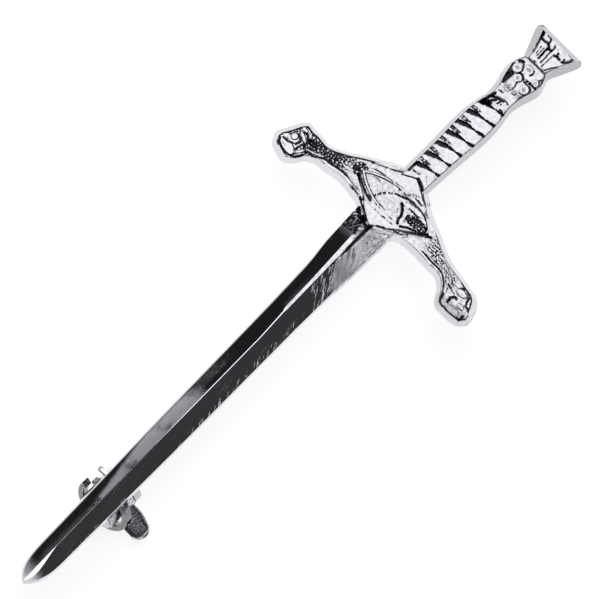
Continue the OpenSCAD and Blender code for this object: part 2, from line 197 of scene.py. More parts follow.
def blade_side(side):
    """Points across one half: straight wall, bevel, and a face that sags by a sine of the way up."""
    draft = slim * (0.09 if side < 0 else 0.40 - 0.26 * ease(u, 54, 60))
    edge = half - draft * 1.2
    top = side * ridge_v + flat + (point_flat if side < 0 else 0)
    face_v = edge + (top - edge) * face_t
    sag = 0.03 * np.sin(math.pi * face_t) * slim
    ripple = 0.006 * np.sin(u * 0.9 + 1.3 * side + face_t * 2.0) * np.sin(math.pi * face_t) * slim
    edge_w = wall
    face_w = wall + (crest - wall) * face_t - sag + ripple
    if side < 0:
        swollen = crest - 0.06 - 0.32 * (1 - face_t) ** 1.4
        face_w = face_w + (swollen - face_w) * fillet * 0.9
        edge_w = wall + fillet * 0.46
    v = np.concatenate([half, half - draft * 0.35, half - draft * 0.66, half - draft * 0.74,
                        half - draft * 1.12, edge, face_v, top + 0.01 * slim, top], axis=1)
    w = np.concatenate([0 * half, (edge_w - 0.15 * slim) / 2, edge_w - 0.17 * slim, edge_w - 0.13 * slim,
                        edge_w - 0.02 * slim, edge_w, face_w, crest - 0.003 * slim, crest], axis=1)
    return side * v, w


right_v, right_w = blade_side(1)
left_v, left_w = blade_side(-1)
across = np.concatenate([left_v, right_v[:, ::-1]], axis=1)
height = np.concatenate([left_w, right_w[:, ::-1]], axis=1)
grown_u = np.broadcast_to(u, across.shape)

# The casting's skin shows through the grinding in the last millimetres before the guard: a black furrow
# under the ridge's flat, pits on both faces, and a black wedge where the blade meets the diamond block
pits = pebbles(grown_u, across, 0.34, 3)
on_face = height > WALL_H * 0.98
wedge_line = [(64.3, 0.1), (64.5, 1.15), (65.15, 2.0), (65.8, 2.7), (66.35, 3.3)]
furrow_line = [(57, 0.02), (58.5, -0.02), (60, -0.07), (64.2, -0.05)]


def wedge_at(u, v):
    """The black wedge: 1 along its line and 0 beside it, with a width that falls smoothly to its end."""
    return near_path(u, v, wedge_line, 0.64 - 0.38 * ease(u, 65.3, 66.3))


wedge = wedge_at(grown_u, across)
furrow = near_path(grown_u, across, furrow_line, 0.09 + 0.2 * ease(grown_u, 58.5, 60.5))
skin_from = np.where(across > 0.9, 61.8, np.where(across > -0.3, 61.5, 60.2 + 0.5 * np.sin(3 * across)))
skin = ease(grown_u - skin_from, 0, 0.5)
shoulder = ease(grown_u, 63.7, 64.1) * ease(across, 1.6, 1.9)
height = np.where(on_face, height + (1.62 - height) * shoulder * 0.9, height)
height = height - (0.25 * furrow + 0.5 * wedge + 0.05 * (1 - pits) * skin) * on_face
spots_up = 0.3 + 0.45 * (1 - ease(pits, 0.3, 0.75))
spots_down = 0.28 + 0.24 * (1 - ease(pits, 0.1, 0.5))
spots = np.where(across > 0.5, spots_up, spots_down)
blade_recess = np.maximum(np.maximum(furrow, wedge), spots * skin) * on_face
blade = shell("blade", placed(grown_u, across, height), np.clip(blade_recess, 0, 1))


# Guard. The casting's cross-piece: two arms that sweep towards the point and end in round knobs, a low
# rim along their edges round a stippled ground, and a diamond block with an almond in its middle.
LEAN = math.radians(2.4)
GUARD_WALL_H = 1.25
ARM_L = {1: 16.85, -1: 17.65}
# columns: share of the arm's length, distance of its middle line towards the point, half width
arm_rows = {
    1: [(0, 0, 5.1), (0.089, -0.15, 4.75), (0.178, -0.55, 3.97), (0.297, -0.15, 3.15), (0.415, 0.36, 2.45),
        (0.54, 1.25, 1.95), (0.659, 1.88, 1.73), (0.706, 2.2, 2.1), (0.736, 2.56, 2.54), (0.795, 3.06, 3.0),
        (0.89, 3.03, 2.92), (0.926, 3.28, 2.46), (0.973, 3.88, 1.32), (1, 3.9, 0.45)],
    -1: [(0, 0, 5.1), (0.085, 0.0, 4.65), (0.16, 0.2, 4.1), (0.19, 0.02, 3.5), (0.225, 0.0, 3.1),
         (0.277, 0.15, 2.75), (0.39, 0.5, 2.3), (0.497, 1.03, 1.89), (0.627, 1.6, 1.66), (0.678, 2.15, 2.05),
         (0.709, 2.65, 2.45), (0.825, 3.15, 2.6), (0.907, 3.3, 2.35), (0.952, 3.56, 1.84),
         (0.985, 3.85, 1.05), (1, 4.05, 0.4)],
}


def leaned(a, b, off=0.0):
    """Place (a, b) drawn from the guard's middle, turned by the lean of guard and hilt."""
    b = b + off
    return GUARD_U + a * math.cos(LEAN) + b * math.sin(LEAN), -a * math.sin(LEAN) + b * math.cos(LEAN)


# Rows from one arm's end to the other, closer together over the last part of each
CLOSE_SHARE = 0.06
close_rows = CLOSE_SHARE * np.linspace(0, 1, 18) ** 1.4
even_rows = np.linspace(CLOSE_SHARE - 1, 1 - CLOSE_SHARE, 310)[1:-1]
share = np.concatenate([close_rows - 1, even_rows, 1 - close_rows[::-1]])[:, None]
up = share >= 0
out = np.abs(share)
arm = {side: [column(out, rows, c, curve) for c in (1, 2)] for side, rows in arm_rows.items()}
arm_mid = -np.where(up, arm[1][0], arm[-1][0])
arm_half = np.maximum(0.3, np.where(up, arm[1][1], arm[-1][1]))
arm_b = share * np.where(up, ARM_L[1], ARM_L[-1])

# Columns across an arm: close steps up each wall and over the rim, then even ones between
edge_steps = np.array([[0, 0.15, 0.3, 0.42, 0.52, 0.62, 0.72, 0.79, 0.86, 0.95, 1.05, 1.13, 1.18, 1.24, 1.3,
                        1.38]])
inset = edge_steps * np.minimum(1, arm_half / 2.0)
inner = arm_half - inset[:, -1:]
middle_columns = np.linspace(-1, 1, 66)[None, 1:-1]
a = arm_mid + np.concatenate([-arm_half + inset, inner * middle_columns, (arm_half - inset)[:, ::-1]], axis=1)
b = np.broadcast_to(arm_b, a.shape)

# Distance of each point from the guard's outline: the least to the pieces of both edges beside its row.
# The outline is closed, so at an arm's end the rows beside it run on round the end.
NEAR_ROWS = 36
rim = np.stack([np.concatenate([(arm_mid - arm_half)[:, 0], (arm_mid + arm_half)[::-1, 0]]),
                np.concatenate([arm_b[:, 0], arm_b[::-1, 0]])])
rim_count = rim.shape[1]
row = np.arange(len(share))[:, None]
beside_row = np.arange(-NEAR_ROWS, NEAR_ROWS + 1)
pieces = np.hstack([row + beside_row, rim_count - 1 - row + beside_row])[:, None] % rim_count
rim_end = np.roll(rim, -1, axis=1)
edge_gap = piece_gap(a[..., None], b[..., None], rim[:, pieces], rim_end[:, pieces]).min(axis=-1)

u, v = leaned(a, b)
guard_draft = 0.60 + 0.18 * np.clip((a - arm_mid) / 0.8, -1, 1)
wall_h = GUARD_WALL_H * np.clip(edge_gap / guard_draft, 0, 1)
cobble = pebbles(u, v, 0.42, 11)
grain = pebbles(u, v, 0.26, 5)
speckle = pebbles(u * 0.8, v * 1.1, 0.3, 23)

# Black line inside the rim. columns: distance along the arm, gap from the outline, strength of the line
rim_lines = {
    -1: [(-17.6, 0.55, 0.9), (-14.8, 0.55, 1), (-12.8, 0.68, 1), (-11.0, 0.84, 1), (-7.3, 0.88, 1),
         (-6.6, 0.88, 0), (3.4, 1.02, 0), (4.2, 1.02, 0.6), (6.0, 1.02, 0.6), (7.2, 1.02, 1), (11.8, 1.0, 1),
         (13.2, 0.8, 0.75), (16.8, 0.75, 0.8)],
    1: [(-17.6, 0.9, 1), (-14.0, 0.9, 1), (-13.3, 0.88, 0.4), (-9.5, 0.84, 0.4), (-7.2, 0.84, 0.85),
        (-6.4, 0.84, 0), (4.8, 0.86, 0), (5.6, 0.86, 1), (9.0, 0.86, 1), (12.4, 0.86, 0.95), (16.8, 0.86, 1)],
}
at_gap, strong = (np.where(a < arm_mid, column(b, rim_lines[-1], c), column(b, rim_lines[1], c))
                  for c in (1, 2))
line_half = np.where(b < 0, 0.085, 0.125) * (1.15 - 0.55 * ease(speckle, 0.5, 0.8))
rim_line = strong * np.exp(-(((edge_gap - at_gap) / line_half) ** 4))

# Ground of the arms: black round light grains. columns: distance along the arm, share of black
ground_rows = [(-13.4, 0.0), (-12.6, 0.12), (-10.2, 0.14), (-9.6, 0.28), (-7.9, 0.28), (-7.2, 0.12),
               (-6.4, 0.0), (6.6, 0.0), (7.3, 0.15), (8.2, 0.28), (9.4, 0.5), (12.0, 0.6), (12.8, 0.35),
               (13.4, 0.0)]
share_black = column(b, ground_rows)
ground = ease(edge_gap - at_gap, 0.05, 0.2)
inner_side = np.where(b < 0, ease(a - arm_mid, -1.1, -0.5), 1)
net = ground * inner_side * (1 - ease(cobble, share_black - 0.12, share_black + 0.12)) * (share_black > 0.02)
net = net * (1 - 0.7 * ease(speckle, 0.45, 0.75) * ease(-b, -1, 1))
height = wall_h + 0.10 * ease(edge_gap - guard_draft, 0, 0.1)
height = height - 0.10 * rim_line - 0.08 * net - 0.02 * ground * (1 - grain)
dark = np.maximum(np.maximum(rim_line, net), 0.2 * ground)

# Knobs at the arms' ends: round lobes, a slanted bar and small beads inside the rim
# columns: middle, radii, turn in degrees, rise
lobes = [
    ((65.05, 14.75), (0.72, 1.3), 15, 0.36), ((66.55, 14.85), (0.52, 0.52), 0, 0.40),
    ((67.2, 13.95), (0.30, 1.12), 28, 0.50), ((68.1, 14.4), (0.3, 0.62), 15, 0.3),
    ((65.4, 12.98), (0.75, 0.3), 15, 0.22), ((66.1, 15.6), (0.36, 0.26), 0, 0.24),
    ((64.6, 13.8), (0.32, 0.36), 0, 0.22), ((66.05, -14.3), (0.52, 0.95), 0, 0.36),
    ((63.55, -14.95), (0.6, 1.2), 0, 0.3), ((64.6, -15.35), (0.42, 0.62), 0, 0.28),
    ((64.3, -13.1), (0.62, 0.3), 10, 0.2), ((66.0, -12.4), (0.2, 0.75), 10, 0.2),
]
for at, radii, turn, rise in lobes:
    bump = dome(u, v, at, radii, turn)
    lobe = GUARD_WALL_H + 0.06 + 0.32 * rise * np.minimum(1.3 * bump, 0.9 + 0.1 * bump)
    height = np.maximum(height, lobe * (bump > 0))
bar = near_path(u, v, [(66.3, 12.5), (66.6, 11.5), (67.1, 10.4)], 0.3)
height = np.maximum(height, (GUARD_WALL_H + 0.05 + 0.2 * bar) * (bar > 0.1))
dark = dark * (1 - ease(bar, 0.15, 0.5))

# Lines engraved round the lobes
# columns: points of the line, its half width, its depth, how black it is, how broken it is
knob_cuts = [
    ([(65.5, 15.8), (65.45, 15.1), (65.75, 14.4)], 0.1275, 0.15, 1, 0.2),
    ([(66.4, 15.5), (66.85, 15.35), (67.3, 15.0)], 0.09, 0.12, 0.9, 0.3),
    ([(65.9, 14.05), (66.5, 13.85), (66.95, 14.1), (67.1, 14.6)], 0.135, 0.15, 1, 0.1),
    ([(65.3, 13.6), (66.2, 13.5), (66.7, 13.2)], 0.1125, 0.12, 1, 0.4),
    ([(64.35, 13.4), (64.6, 12.95), (65.2, 12.55), (65.95, 12.3)], 0.15, 0.12, 1, 0.5),
    ([(67.75, 14.3), (67.9, 13.8), (67.5, 13.4), (67.15, 12.9)], 0.12, 0.15, 1, 0.3),
    ([(67.55, 13.1), (67.75, 12.2)], 0.165, 0.12, 1, 0.3),
    ([(67.1, 12.8), (67.3, 11.9)], 0.09, 0.09, 1, 0.3),
    ([(66.05, 11.9), (66.4, 11.2), (66.95, 10.2)], 0.12, 0.09, 1, 0.2),
    ([(64.9, 15.5), (64.85, 14.9)], 0.0525, 0.06, 0.6, 0.3),
    ([(64.0, -13.75), (64.7, -13.7), (65.1, -14.0), (65.05, -14.35)], 0.165, 0.12, 1, 0.3),
    ([(65.35, -13.7), (65.5, -13.1), (65.75, -12.3)], 0.0675, 0.09, 0.9, 0.3),
    ([(66.3, -13.3), (66.2, -12.7), (66.5, -12.2)], 0.06, 0.06, 0.8, 0.4),
    ([(66.6, -13.8), (66.85, -14.5), (66.65, -14.9), (66.45, -15.3)], 0.0825, 0.09, 0.95, 0.3),
    ([(66.3, -15.4), (65.6, -15.6), (65.1, -15.85), (65.05, -16.4)], 0.1125, 0.12, 1, 0.4),
    ([(63.1, -16.4), (63.5, -16.5), (63.9, -16.45)], 0.18, 0.12, 1, 0.1),
    ([(64.3, -15.1), (64.4, -15.9)], 0.0525, 0.072, 0.7, 0.2),
    ([(63.4, -14.1), (63.85, -14.6)], 0.06, 0.06, 0.5, 0.4),
    ([(63.2, -13.0), (63.9, -12.85), (64.5, -12.6)], 0.105, 0.072, 1, 0.5),
    ([(66.9, -9.9), (66.85, -11.2), (66.8, -12.4)], 0.045, 0.06, 0.7, 0.4),
    ([(67.5, -9.9), (67.45, -11.2)], 0.045, 0.06, 0.7, 0.4),
]
height, dark = carved(u, v, height, dark, knob_cuts, speckle)

# White band where the blade's -v face runs out into the cross-piece
band_line = [(63.9, -0.65), (64.75, -1.5), (65.4, -2.25), (66.1, -3.1), (66.75, -3.95)]
band = near_path(u, v, band_line, 0.5)
height = np.maximum(height, (2.02 - 0.19 * (u - 64.1)) * ease(band, 0.05, 0.4))
dark = dark * (1 - ease(band, 0.2, 0.6))

# Diamond block: a sloping-sided plateau with an almond raised on it and leaves cut inside the almond
DIAMOND_A = 4.4
DIAMOND_B = 6.75
DIAMOND_TOP = 2.2


def in_diamond(a, b, half_a):
    """How far inside the block: 1 less the sum of both distances from its middle, in half diagonals."""
    return (1 - (np.abs(a) / half_a) ** 1.08 - (np.abs(b) / DIAMOND_B) ** 1.08) / 0.28


half_a = np.where(a < 0, 5.0 - 0.6 * ease(np.abs(b), 1.8, 3.4), DIAMOND_A)
block_share = ease(in_diamond(a, b, half_a), 0.24, 0.32)
ALMOND_HALF = 2.05
ALMOND_L = 5.65
ALMOND_OFF = 0.1
round_r = (ALMOND_L**2 + ALMOND_HALF**2) / (2 * ALMOND_HALF)
to_centre = round_r - ALMOND_HALF
from_middle = a + ALMOND_OFF
almond = round_r - np.maximum(np.hypot(from_middle - to_centre, b), np.hypot(from_middle + to_centre, b))
stipple = pebbles(u, v, 0.36, 17)
upper = ease(b, -1.5, 1.5)
ring = ease(almond, 0.0, 0.08) * (1 - ease(almond, 0.3, 0.42)) * upper
leaf_up = dome(u, v, (68.6, 2.9), (1.15, 2.7), 6)
leaf_down = dome(u, v, (69.75, -2.9), (0.5, 2.0), -8)
top = DIAMOND_TOP + 0.06 * ring - 0.05 * ease(almond, 0.3, 0.45) * upper
top = top + 0.04 * leaf_up + 0.10 * leaf_down - 0.02 * (1 - stipple) * (1 - ring)
pocket = dome(u, v, (69.2, 5.95), (1.05, 1.0)) * (almond < -0.08) * ease(b, 4.6, 5.2)
pocket = ease(pocket, 0.2, 0.5) * (1 - ease(cobble, 0.42, 0.62))
hatched = ease(dome(u, v, (68.55, -4.1), (0.75, 1.75), -6), 0.1, 0.6) * (1 - ease(cobble, 0.35, 0.6))
top = top - 0.10 * pocket - 0.10 * hatched
leaf_tone = 0.25 * ease(almond, 0.36, 0.5) * (1 - 0.8 * ease(leaf_down, 0.2, 0.5))
top_dark = np.maximum(np.maximum(pocket, 0.95 * hatched), leaf_tone)
height = height - 0.08 * pocket
dark = np.maximum(dark, pocket)
# columns: points of the line, its half width, its depth, how black it is, how broken it is
block_cuts = [
    ([(68.5, 5.6), (68.0, 4.8), (67.45, 3.9), (67.05, 3.0), (66.8, 2.2)], 0.155, 0.2, 1, 0.0),
    ([(69.8, 5.6), (70.15, 4.8), (70.4, 3.8), (70.5, 3.2)], 0.08, 0.12, 0.9, 0.45),
    ([(70.5, 3.2), (70.65, 2.0), (70.5, 0.8), (70.2, 0.1)], 0.10, 0.05, 0.5, 0.2),
    ([(73.15, 1.35), (72.6, 1.95), (72.1, 2.8), (71.6, 3.9), (71.15, 4.9), (70.9, 5.4)], 0.075, 0.10, 1, 0.7),
    ([(66.4, 3.1), (66.55, 4.2), (66.8, 5.4)], 0.12, 0.12, 0.9, 0.5),
    ([(66.4, 3.0), (66.3, 0.0), (66.4, -2.2)], 0.07, 0.06, 0.6, 0.6),
    ([(66.9, 1.6), (66.8, 0.0), (66.9, -1.6)], 0.07, 0.05, 0.45, 0.4),
    ([(67.6, 2.2), (68.5, 1.75), (69.2, 1.1), (69.7, 0.3), (69.95, -0.4)], 0.10, 0.1, 0.85, 0.5),
    ([(70.0, -0.5), (70.25, -1.1), (70.37, -2.0), (70.3, -3.0), (70.05, -4.1), (69.6, -5.0), (69.1, -5.5),
      (68.6, -5.6)], 0.11, 0.2, 1, 0.0),
    ([(66.9, -2.4), (67.4, -2.05), (68.1, -2.0), (68.7, -1.65), (69.3, -0.95)], 0.13, 0.15, 0.95, 0.45),
    ([(67.4, -1.7), (68.2, -1.35), (68.7, -0.9)], 0.09, 0.05, 0.5, 0.5),
    ([(66.15, -2.8), (66.45, -3.6)], 0.12, 0.12, 0.9, 0.6),
    ([(66.9, -2.9), (67.4, -3.7), (67.75, -4.6), (68.05, -5.3), (68.5, -6.0), (68.8, -6.6)],
     0.15, 0.15, 1, 0.45),
    ([(73.15, -0.3), (72.9, -0.95), (72.4, -1.75), (71.85, -2.5), (71.35, -3.4)], 0.13, 0.2, 1, 0.0),
    ([(71.0, -1.9), (70.85, -3.0)], 0.10, 0.1, 0.8, 0.4),
    ([(70.8, -3.9), (70.5, -4.5)], 0.10, 0.1, 0.9, 0.5),
    ([(70.4, -0.5), (71.1, -1.3), (71.4, -1.9)], 0.33, 0.06, 0.62, 0.7),
    ([(69.35, -2.2), (69.3, -3.2), (69.1, -4.4)], 0.10, 0.1, 0.8, 0.4),
    ([(67.6, -2.6), (68.3, -3.3)], 0.08, 0.06, 0.6, 0.4),
    ([(69.5, 4.6), (69.7, 3.4), (69.5, 2.4), (69.0, 2.0)], 0.10, 0.04, 0.45, 0.4),
    ([(68.3, 3.6), (68.15, 2.9), (68.6, 2.5), (69.1, 2.8)], 0.09, 0.04, 0.4, 0.4),
    ([(64.45, -0.6), (64.85, -0.75), (65.05, -1.05)], 0.12, 0.12, 1, 0.3),
    ([(65.15, -1.25), (65.35, -1.6)], 0.10, 0.1, 1, 0.3),
    ([(65.45, -1.85), (65.6, -2.2)], 0.07, 0.1, 0.9, 0.3),
]
top, top_dark = carved(u, v, top, top_dark, block_cuts, stipple)
height, dark = carved(u, v, height, dark, block_cuts, stipple)
height = height + (np.maximum(top, height) - height) * block_share
dark = dark + (top_dark - dark) * block_share
wedge = wedge_at(u, v) * (1 - block_share) * np.where(v < 2.5, 1, ease(edge_gap, 0.3, 0.5))
dark = np.maximum(dark * ease(edge_gap - guard_draft, -0.12, 0.0), wedge)
height = np.where(edge_gap > 0.12, height - 0.25 * wedge * ease(edge_gap, 0.2, 0.6), wall_h)
guard = shell("guard", placed(u, v, np.maximum(height, 0.05)), np.clip(dark, 0, 1))


# Hilt. The casting's grip bound with slanting ribs, then the collar, the thistle's ball with its round
# bosses and the fluted crown. All of it is cast in one with the guard, over the same flat back.
HILT_OFF = 0.2
HILT_L = 31.1
# columns: share of the length, half width, height of the crest
hilt_rows = [(0.1, 2.27, 2.35), (0.2, 2.31, 2.4), (0.33, 2.43, 2.45), (0.44, 2.6, 2.5),
             (0.505, 2.58, 2.5), (0.57, 2.35, 2.43), (0.635, 2.03, 2.25), (0.665, 2.12, 2.4),
             (0.7, 2.37, 2.7), (0.735, 2.69, 2.85), (0.765, 2.85, 2.9), (0.79, 2.76, 2.86),
             (0.815, 2.5, 2.78), (0.842, 2.22, 2.68), (0.865, 2.42, 2.64), (0.894, 2.8, 2.65),
             (0.933, 3.3, 2.67), (0.97, 3.74, 2.66), (0.988, 3.72, 2.65), (1, 3.4, 2.65)]
# columns: share of the length, draft of the +v wall and of the -v wall, fall of the top to its edges
side_rows = [(0.08, 0.76, 0.33, 0.10), (0.62, 0.76, 0.33, 0.10), (0.70, 0.64, 0.32, 0.14),
             (0.80, 0.64, 0.32, 0.14), (0.845, 0.75, 0.5, 0.15), (0.90, 0.95, 0.65, 0.10),
             (1.0, 1.05, 0.7, 0.10)]
HILT_START = 0.08
END_SLOPE = 0.038
NECK_STEP = 0.6
s = np.concatenate([np.linspace(HILT_START, 1 - END_SLOPE, 330),
                    1 - END_SLOPE * np.linspace(1, 0, 26)[1:]])[:, None]
row_at = np.maximum(s, hilt_rows[0][0])
hilt_half = column(row_at, hilt_rows, 1, curve)
hilt_crest = column(row_at, hilt_rows, 2, curve) - NECK_STEP * ease(s, 0.823, 0.836)
draft_up, draft_down, fall = (column(s, side_rows, c) for c in (1, 2, 3))

# Columns across: up one wall, over the top with close steps at its two edges, and down the other wall
steps = np.array([[0, 0.25, 0.5, 0.75, 0.94]])
EDGE_SHARE = 0.035
close_steps = np.linspace(0, EDGE_SHARE, 5)[:-1]
even_steps = np.linspace(EDGE_SHARE, 1 - EDGE_SHARE, 62)
top_share = np.concatenate([close_steps, even_steps, 1 - close_steps[::-1]])
top_lo, top_hi = -hilt_half + draft_down, hilt_half - draft_up
b = np.concatenate([-hilt_half + draft_down * steps, top_lo + (top_hi - top_lo) * top_share[None, :],
                    hilt_half - draft_up * steps[:, ::-1]], axis=1)
a = np.broadcast_to(s * HILT_L, b.shape)
u, v = leaned(a, b, HILT_OFF)
climb = np.clip(np.minimum((hilt_half + b) / draft_down, (hilt_half - b) / draft_up), 0, 1)
t = np.clip(np.abs(b - (top_lo + top_hi) / 2) / ((top_hi - top_lo) / 2), 0, 1)
height = (hilt_crest - fall) * climb + fall * np.sqrt(np.clip(1 - t**9, 0, 1))
on_top = ease(1 - t, 0, 0.05)

# The grip dives under the diamond block, a little further out on its +v side
inside = in_diamond(a, b + HILT_OFF, DIAMOND_A)
brim = 0.08 + 0.14 * ease(v, -0.6, -0.2)
limit = 1.15 + 1.3 * (1 - ease(inside, brim, brim + 0.1))
height = np.where(inside > 0, np.minimum(height, limit), height)

# Binding: black wedges between the ribs, wide at the +v end and thin in the middle, with a notch at the
# -v end, and beside each a streaky painted shadow: a grey band in the colour over a shallow dip.
# columns: place across the grip, half width of the cut
RIB_PITCH = 1.935
RIB_FIRST = 74.95
SHADE_FIRST = RIB_FIRST + 0.42
wedge_rows = [(-2.6, 0.20), (-2.0, 0.17), (-1.5, 0.12), (-1.2, 0.06), (-0.9, 0.10), (-0.5, 0.16), (0.0, 0.23),
              (0.5, 0.28), (1.6, 0.30)]
bend = -np.where(v > -0.2, 0.31, 0.14) * (v + 0.2)
number = np.clip(np.round((u - bend - RIB_FIRST) / RIB_PITCH), 0, 6)
rib_u = RIB_FIRST + number * RIB_PITCH
beside = u - bend - rib_u
streak = pebbles(u, v * 0.3, 0.17, 31)
speckle = pebbles(u, v, 0.3, 37)
cut_half = column(v, wedge_rows) * (1.1 - 0.35 * ease(speckle, 0.5, 0.8))
bound = ease(u, 74.0, 74.3) * (1 - ease(u, 87.4, 87.7))
groove = (1 - ease(np.abs(beside), cut_half * 0.8, cut_half * 1.2)) * bound
shade_number = np.clip(np.round((u - SHADE_FIRST) / RIB_PITCH), 0, 5)
shade_at = np.abs(u - SHADE_FIRST - RIB_PITCH * shade_number)
# Painted shadow beside each rib: it greys the colour and dips the top a little
painted_rib_shadow = (1 - ease(shade_at, 0.1, 0.27)) * ease(v, -0.8, 0.2) * bound
painted_rib_shadow = painted_rib_shadow * (1 - 0.45 * ease(streak, 0.35, 0.7))
lower_edge = leaned(a, top_lo, HILT_OFF)[1]
scallop = 0.03 * ease(np.abs(beside), 0.75, 0.3) * ease(v - lower_edge, 0.5, 0.0)
height = height - (0.40 * groove + 0.10 * painted_rib_shadow + scallop * bound) * on_top
dark = np.maximum(groove * (1 - 0.25 * ease(streak, 0.5, 0.7) * ease(v, 0, 1)), 0.68 * painted_rib_shadow)

# Lines engraved on the collar, round the ball's bosses and between the crown's flutes
# columns: points of the line, its half width, its depth, how black it is, how broken it is
hilt_cuts = [
    ([(73.15, -0.3), (72.9, -0.95), (72.4, -1.75), (71.85, -2.5)], 0.13, 0.2, 1, 0.0),
    ([(73.2, 1.35), (73.8, 1.38), (74.4, 1.3)], 0.2, 0.2, 1, 0.2),
    ([(73.5, 1.1), (73.55, 0.6), (73.7, -0.1)], 0.17, 0.05, 0.75, 0.6),
    ([(74.0, -0.9), (73.5, -1.5)], 0.1, 0.04, 0.4, 0.6),
    ([(86.3, 0.9), (86.9, 0.35), (86.9, -0.05)], 0.28, 0.25, 1, 0.2),
    ([(86.6, 0.85), (87.4, 0.6), (88.35, 0.4)], 0.22, 0.25, 1, 0.3),
    ([(87.9, 0.3), (88.15, -0.3), (88.35, -1.1)], 0.2, 0.25, 1, 0.3),
    ([(87.0, 0.1), (87.35, 0.0), (87.8, -0.35)], 0.15, 0.15, 0.95, 0.5),
    ([(87.55, -0.8), (88.0, -0.95)], 0.09, 0.1, 0.9, 0.3),
    ([(87.7, -1.2), (87.8, -1.25)], 0.07, 0.1, 0.8, 0.0),
    ([(87.1, -1.65), (87.15, -1.9)], 0.13, 0.1, 1, 0.0),
    ([(88.5, -1.4), (88.35, -1.9)], 0.08, 0.1, 0.6, 0.4),
    ([(89.0, 0.3), (89.05, -0.4)], 0.07, 0.1, 0.8, 0.5),
    ([(90.35, 0.68), (91.1, 0.68), (91.75, 0.62)], 0.36, 0.3, 1, 0.0),
    ([(90.9, 0.95), (92.0, 1.12), (92.8, 1.3)], 0.11, 0.2, 1, 0.2),
    ([(93.6, 0.9), (93.8, 0.45)], 0.2, 0.2, 1, 0.2),
    ([(92.05, 0.1), (92.35, -0.18), (92.8, -0.22), (93.3, -0.05), (93.55, 0.2)], 0.09, 0.2, 1, 0.1),
    ([(92.35, -0.15), (92.4, -0.65), (92.05, -1.1), (91.8, -1.55), (91.85, -2.15), (91.7, -2.6),
      (91.25, -2.9)], 0.10, 0.2, 1, 0.3),
    ([(92.15, -1.5), (92.2, -2.5), (92.15, -3.1)], 0.16, 0.15, 1, 0.6),
    ([(91.15, -0.75), (91.75, -1.1)], 0.08, 0.15, 0.9, 0.2),
    ([(89.75, -0.3), (89.95, -0.85), (90.55, -0.95), (91.1, -0.8)], 0.07, 0.12, 0.8, 0.4),
    ([(90.95, -3.0), (91.85, -3.3), (92.75, -3.3), (93.7, -3.0)], 0.10, 0.1, 0.95, 0.4),
    ([(93.0, -1.4), (93.35, -1.57), (93.8, -1.42)], 0.08, 0.12, 0.95, 0.1),
    ([(93.2, -0.55), (93.7, -0.5)], 0.10, 0.04, 0.5, 0.3),
    ([(92.95, -3.0), (93.4, -2.7), (93.75, -3.0)], 0.07, 0.1, 0.8, 0.4),
    ([(94.7, -0.5), (95.2, -0.45)], 0.17, 0.05, 0.6, 0.4),
    ([(94.6, -2.15), (94.9, -2.05)], 0.13, 0.05, 0.7, 0.4),
    ([(96.0, 0.62), (97.0, 0.85), (98.0, 1.15), (98.9, 1.45)], 0.14, 0.2, 1, 0.2),
    ([(98.15, 1.15), (98.5, 1.2), (98.85, 1.35)], 0.2, 0.2, 1, 0.0),
    ([(98.05, 1.0), (98.0, 0.5), (98.05, -0.05), (97.9, -0.4)], 0.15, 0.25, 1, 0.1),
    ([(98.15, -0.12), (98.55, -0.08), (98.85, 0.15), (98.8, 0.6)], 0.11, 0.2, 1, 0.3),
    ([(95.8, -0.47), (96.4, -0.47), (97.0, -0.42), (97.7, -0.5)], 0.14, 0.2, 1, 0.35),
    ([(95.5, -1.08), (96.5, -1.06), (97.5, -1.02), (98.2, -1.12), (98.4, -0.9)], 0.09, 0.15, 1, 0.3),
    ([(97.5, -0.5), (97.65, -1.0)], 0.17, 0.2, 1, 0.3),
    ([(96.1, 0.15), (97.2, 0.3)], 0.07, 0.08, 0.5, 0.3),
    ([(95.9, -0.12), (97.3, -0.1)], 0.06, 0.08, 0.5, 0.3),
    ([(95.2, -1.5), (96.6, -1.6), (97.2, -1.6)], 0.06, 0.06, 0.4, 0.3),
    ([(97.4, -1.75), (97.55, -2.1), (97.45, -2.5)], 0.16, 0.2, 1, 0.1),
    ([(97.5, -2.1), (97.95, -1.9)], 0.10, 0.15, 1, 0.0),
    ([(97.45, -3.0), (97.75, -3.4), (98.2, -3.72), (98.75, -3.7)], 0.15, 0.2, 1, 0.1),
    ([(97.95, -3.0), (97.5, -3.1)], 0.08, 0.1, 0.9, 0.0),
    ([(95.1, -2.15), (95.8, -2.5), (96.7, -3.15), (97.6, -3.9), (98.35, -4.35), (98.7, -4.35), (98.85, -4.0),
      (98.8, -3.7)], 0.08, 0.12, 1, 0.3),
]
height, dark = carved(u, v, height, dark * on_top, hilt_cuts, speckle)

# Bosses on the ball and beads on the crown: flat discs with a raised ring. columns: middle, radii, rise
CROWN_U = 95
bosses = [
    ((92.65, 0.5), (0.66, 0.64), 0.24), ((91.65, -0.48), (0.58, 0.56), 0.22),
    ((91.05, -2.1), (0.66, 0.62), 0.2), ((90.05, -0.35), (0.58, 0.52), 0.2),
    ((93.45, -0.75), (0.62, 0.72), 0.2), ((90.1, -1.4), (0.4, 0.36), 0.14),
    ((92.65, -2.55), (0.56, 0.5), 0.16), ((98.5, 0.42), (0.34, 0.36), 0.22),
    ((98.25, -0.58), (0.36, 0.36), 0.22), ((98.3, -2.2), (0.3, 0.7), 0.16),
    ((98.45, -3.2), (0.26, 0.45), 0.16),
]
floor_w = height.copy()
for at, radii, rise in bosses:
    far = np.hypot((u - at[0]) / radii[0], (v - at[1]) / radii[1])
    cap = rise * (1 - ease(far, 0.78, 1.0)) - 0.05 * (1 - ease(far, 0.42, 0.62))
    height = np.where(far < 1, np.maximum(height, floor_w + 0.7 * cap), height)
    middle_tone = 0.52 * (1 - ease(far, 0.4, 0.6)) * (at[0] < CROWN_U)
    ring_tone = 0.6 * np.exp(-(((far - 1.02) / 0.10) ** 2)) * (speckle < 0.6)
    dark = np.where(far < 0.86, middle_tone, np.maximum(dark, ring_tone))
